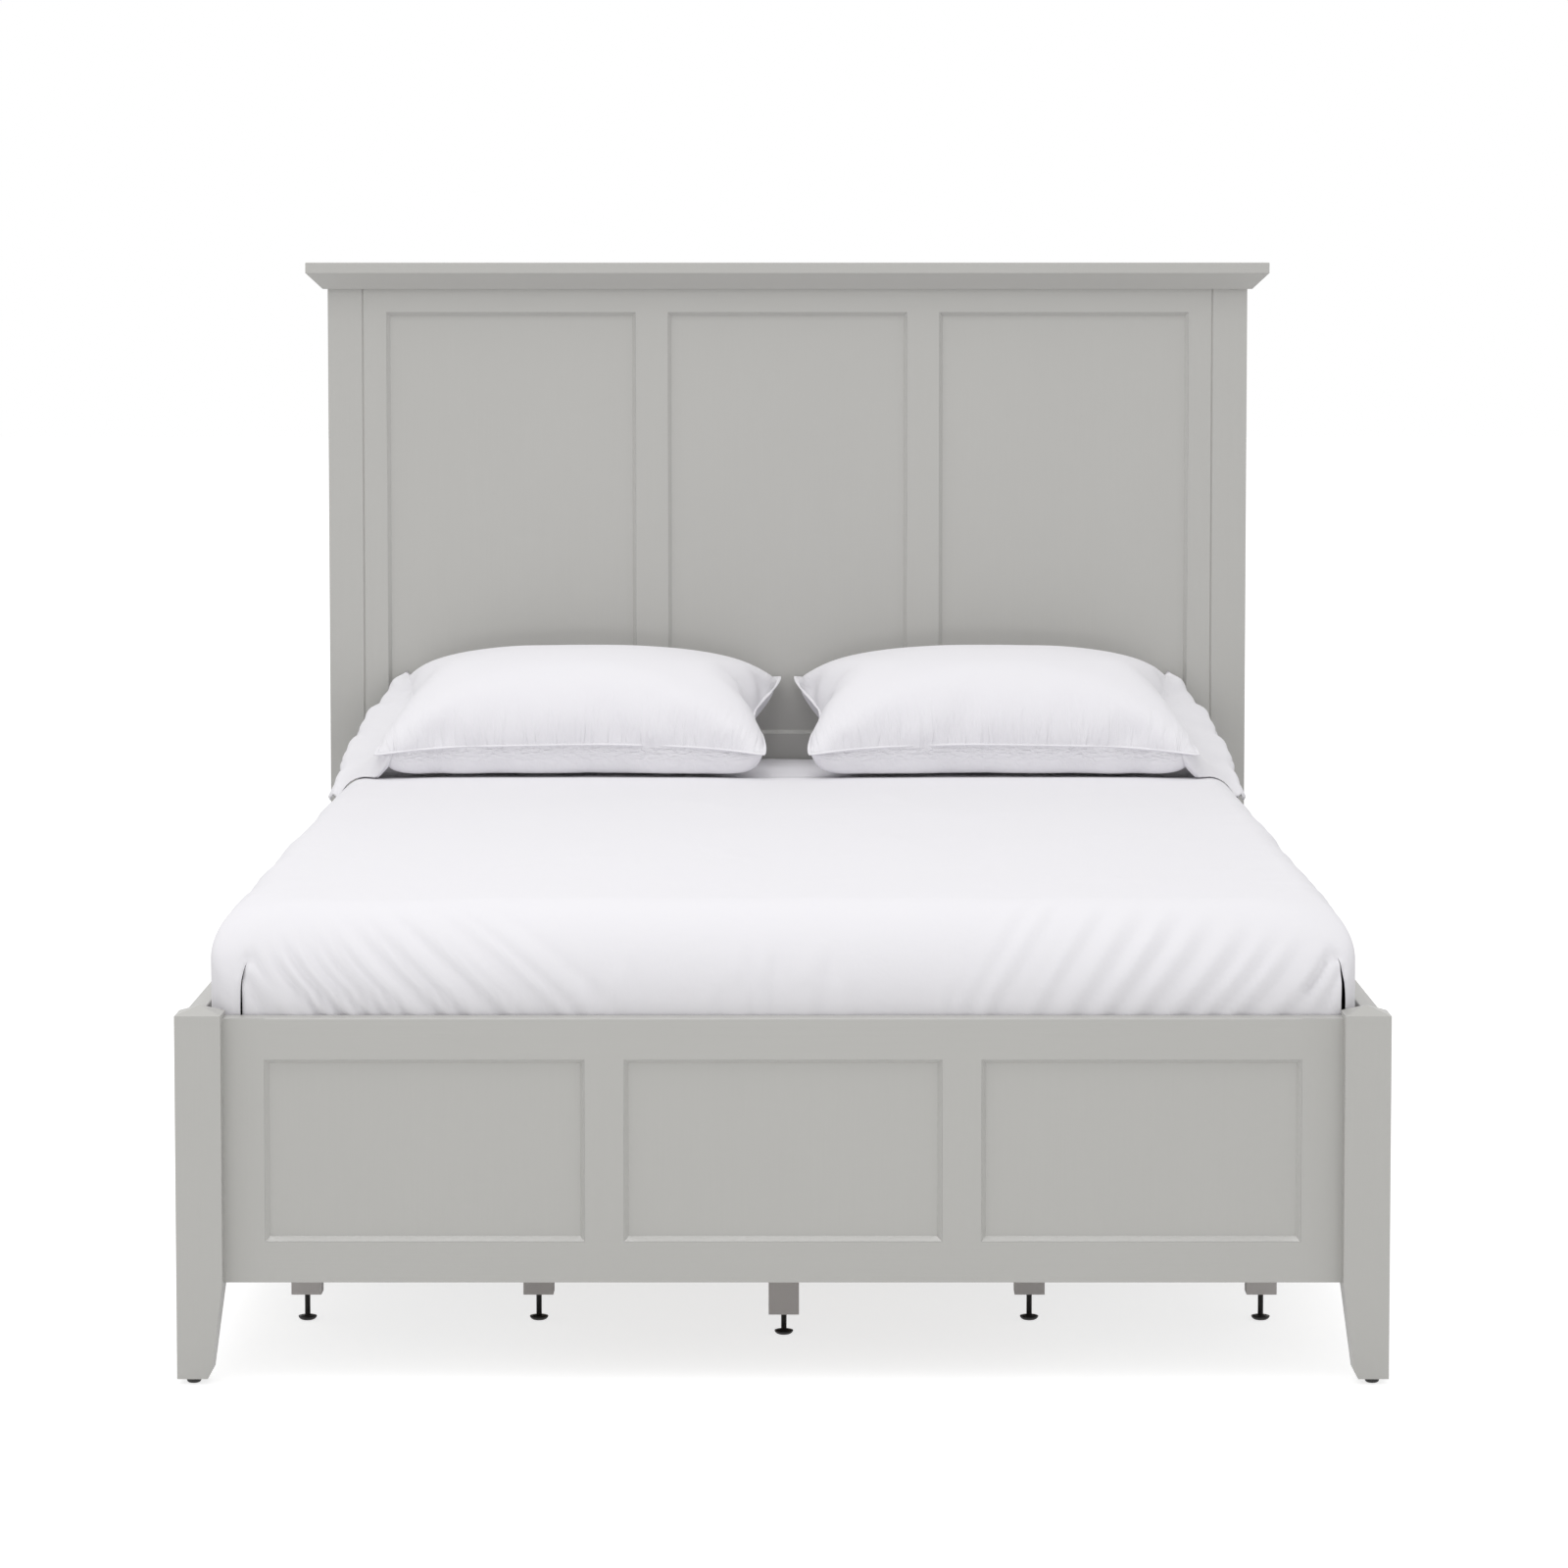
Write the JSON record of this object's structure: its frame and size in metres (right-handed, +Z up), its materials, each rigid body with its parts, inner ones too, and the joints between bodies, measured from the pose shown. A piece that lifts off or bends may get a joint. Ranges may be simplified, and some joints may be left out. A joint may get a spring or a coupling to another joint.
{
  "type": "platform storage bed",
  "caption": "Platform storage bed: panelled headboard and footboard, slatted platform on drawer cabinets, side drawers on runners, levelling feet, mattress, sheet and pillows.",
  "frame": {"origin": "on the floor, under the middle of the bed's overall box", "axes": "+X across the bed to the right as seen from its foot, +Y from the footboard to the headboard, +Z up"},
  "size_m": [1.7492, 2.177, 1.5615],
  "materials": {
    "grey_paint": "satin grey paint over wood",
    "leg_paint": "flat grey paint over wood",
    "cabinet_board": "grey coated board",
    "drawer_birch": "clear-lacquered birch ply",
    "bare_pine": "planed pine",
    "black_steel": "black oxide",
    "zinc_steel": "zinc plated",
    "satin_nickel": "satin nickel",
    "glide_plastic": "matt black",
    "mattress_ticking": "woven ticking",
    "white_sheet_cotton": "fine white cotton",
    "white_pillow_cotton": "fine white cotton"
  },
  "bodies": {
    "frame": {"bed_slats": "bare_pine", "bracket_bolts": "zinc_steel", "centre_beam": "bare_pine", "drawer_cabinet_left": "cabinet_board", "drawer_cabinet_right": "cabinet_board", "drawer_runners": "drawer_birch", "footboard_bottom_rail": "grey_paint", "footboard_mullions": "grey_paint", "footboard_panel_mouldings": "grey_paint", "footboard_panels": "grey_paint", "footboard_post_left": "grey_paint", "footboard_post_right": "grey_paint", "footboard_stiles": "grey_paint", "footboard_top_rail": "grey_paint", "headboard_bottom_rail": "grey_paint", "headboard_crown": "grey_paint", "headboard_mullions": "grey_paint", "headboard_panel_mouldings": "grey_paint", "headboard_panels": "grey_paint", "headboard_post_left": "grey_paint", "headboard_post_right": "grey_paint", "headboard_stiles": "grey_paint", "headboard_top_rail": "grey_paint", "post_glides": "glide_plastic", "rail_brackets": "zinc_steel", "side_rail_left": "grey_paint", "side_rail_right": "grey_paint", "support_legs": "leg_paint"},
    "drawer_left_foot": {"drawer_front_left_foot": "grey_paint", "drawer_box_left_foot": "drawer_birch", "drawer_knobs_left_foot": "satin_nickel"},
    "drawer_left_middle": {"drawer_front_left_middle": "grey_paint", "drawer_box_left_middle": "drawer_birch", "drawer_knobs_left_middle": "satin_nickel"},
    "drawer_left_head": {"drawer_front_left_head": "grey_paint", "drawer_box_left_head": "drawer_birch", "drawer_knobs_left_head": "satin_nickel"},
    "drawer_right_foot": {"drawer_front_right_foot": "grey_paint", "drawer_box_right_foot": "drawer_birch", "drawer_knobs_right_foot": "satin_nickel"},
    "drawer_right_middle": {"drawer_front_right_middle": "grey_paint", "drawer_box_right_middle": "drawer_birch", "drawer_knobs_right_middle": "satin_nickel"},
    "drawer_right_head": {"drawer_front_right_head": "grey_paint", "drawer_box_right_head": "drawer_birch", "drawer_knobs_right_head": "satin_nickel"},
    "leveller_foot_left_outer": {"leveller_foot_left_outer": "black_steel"},
    "leveller_foot_left_inner": {"leveller_foot_left_inner": "black_steel"},
    "leveller_foot_right_outer": {"leveller_foot_right_outer": "black_steel"},
    "leveller_foot_right_inner": {"leveller_foot_right_inner": "black_steel"},
    "leveller_foot_centre": {"leveller_foot_centre": "black_steel"},
    "leveller_head_left_outer": {"leveller_head_left_outer": "black_steel"},
    "leveller_head_left_inner": {"leveller_head_left_inner": "black_steel"},
    "leveller_head_right_outer": {"leveller_head_right_outer": "black_steel"},
    "leveller_head_right_inner": {"leveller_head_right_inner": "black_steel"},
    "leveller_head_centre": {"leveller_head_centre": "black_steel"},
    "bedding": {"mattress": "mattress_ticking", "bed_sheet": "white_sheet_cotton"},
    "pillow_left": {"pillow_left": "white_pillow_cotton"},
    "pillow_right": {"pillow_right": "white_pillow_cotton"}
  },
  "joints": [
    {"name": "drawer_left_foot_slide", "type": "slide", "parent": "frame", "child": "drawer_left_foot", "axis": [-1, 0, 0], "range_m": [0, 0.35]},
    {"name": "drawer_left_middle_slide", "type": "slide", "parent": "frame", "child": "drawer_left_middle", "axis": [-1, 0, 0], "range_m": [0, 0.35]},
    {"name": "drawer_left_head_slide", "type": "slide", "parent": "frame", "child": "drawer_left_head", "axis": [-1, 0, 0], "range_m": [0, 0.35]},
    {"name": "drawer_right_foot_slide", "type": "slide", "parent": "frame", "child": "drawer_right_foot", "axis": [1, 0, 0], "range_m": [0, 0.35]},
    {"name": "drawer_right_middle_slide", "type": "slide", "parent": "frame", "child": "drawer_right_middle", "axis": [1, 0, 0], "range_m": [0, 0.35]},
    {"name": "drawer_right_head_slide", "type": "slide", "parent": "frame", "child": "drawer_right_head", "axis": [1, 0, 0], "range_m": [0, 0.35]},
    {"name": "leveller_foot_left_outer_screw", "type": "slide", "parent": "frame", "child": "leveller_foot_left_outer", "axis": [0, 0, 1], "range_m": [-0.012, 0.02]},
    {"name": "leveller_foot_left_inner_screw", "type": "slide", "parent": "frame", "child": "leveller_foot_left_inner", "axis": [0, 0, 1], "range_m": [-0.012, 0.02]},
    {"name": "leveller_foot_right_outer_screw", "type": "slide", "parent": "frame", "child": "leveller_foot_right_outer", "axis": [0, 0, 1], "range_m": [-0.012, 0.02]},
    {"name": "leveller_foot_right_inner_screw", "type": "slide", "parent": "frame", "child": "leveller_foot_right_inner", "axis": [0, 0, 1], "range_m": [-0.012, 0.02]},
    {"name": "leveller_foot_centre_screw", "type": "slide", "parent": "frame", "child": "leveller_foot_centre", "axis": [0, 0, 1], "range_m": [-0.012, 0.02]},
    {"name": "leveller_head_left_outer_screw", "type": "slide", "parent": "frame", "child": "leveller_head_left_outer", "axis": [0, 0, 1], "range_m": [-0.012, 0.02]},
    {"name": "leveller_head_left_inner_screw", "type": "slide", "parent": "frame", "child": "leveller_head_left_inner", "axis": [0, 0, 1], "range_m": [-0.012, 0.02]},
    {"name": "leveller_head_right_outer_screw", "type": "slide", "parent": "frame", "child": "leveller_head_right_outer", "axis": [0, 0, 1], "range_m": [-0.012, 0.02]},
    {"name": "leveller_head_right_inner_screw", "type": "slide", "parent": "frame", "child": "leveller_head_right_inner", "axis": [0, 0, 1], "range_m": [-0.012, 0.02]},
    {"name": "leveller_head_centre_screw", "type": "slide", "parent": "frame", "child": "leveller_head_centre", "axis": [0, 0, 1], "range_m": [-0.012, 0.02]},
    {"name": "mattress_lift", "type": "slide", "parent": "frame", "child": "bedding", "axis": [0, 0, 1], "range_m": [0, 0.25]},
    {"name": "pillow_left_lift", "type": "slide", "parent": "bedding", "child": "pillow_left", "axis": [0, 0, 1], "range_m": [0, 0.2]},
    {"name": "pillow_right_lift", "type": "slide", "parent": "bedding", "child": "pillow_right", "axis": [0, 0, 1], "range_m": [0, 0.2]}
  ]
}
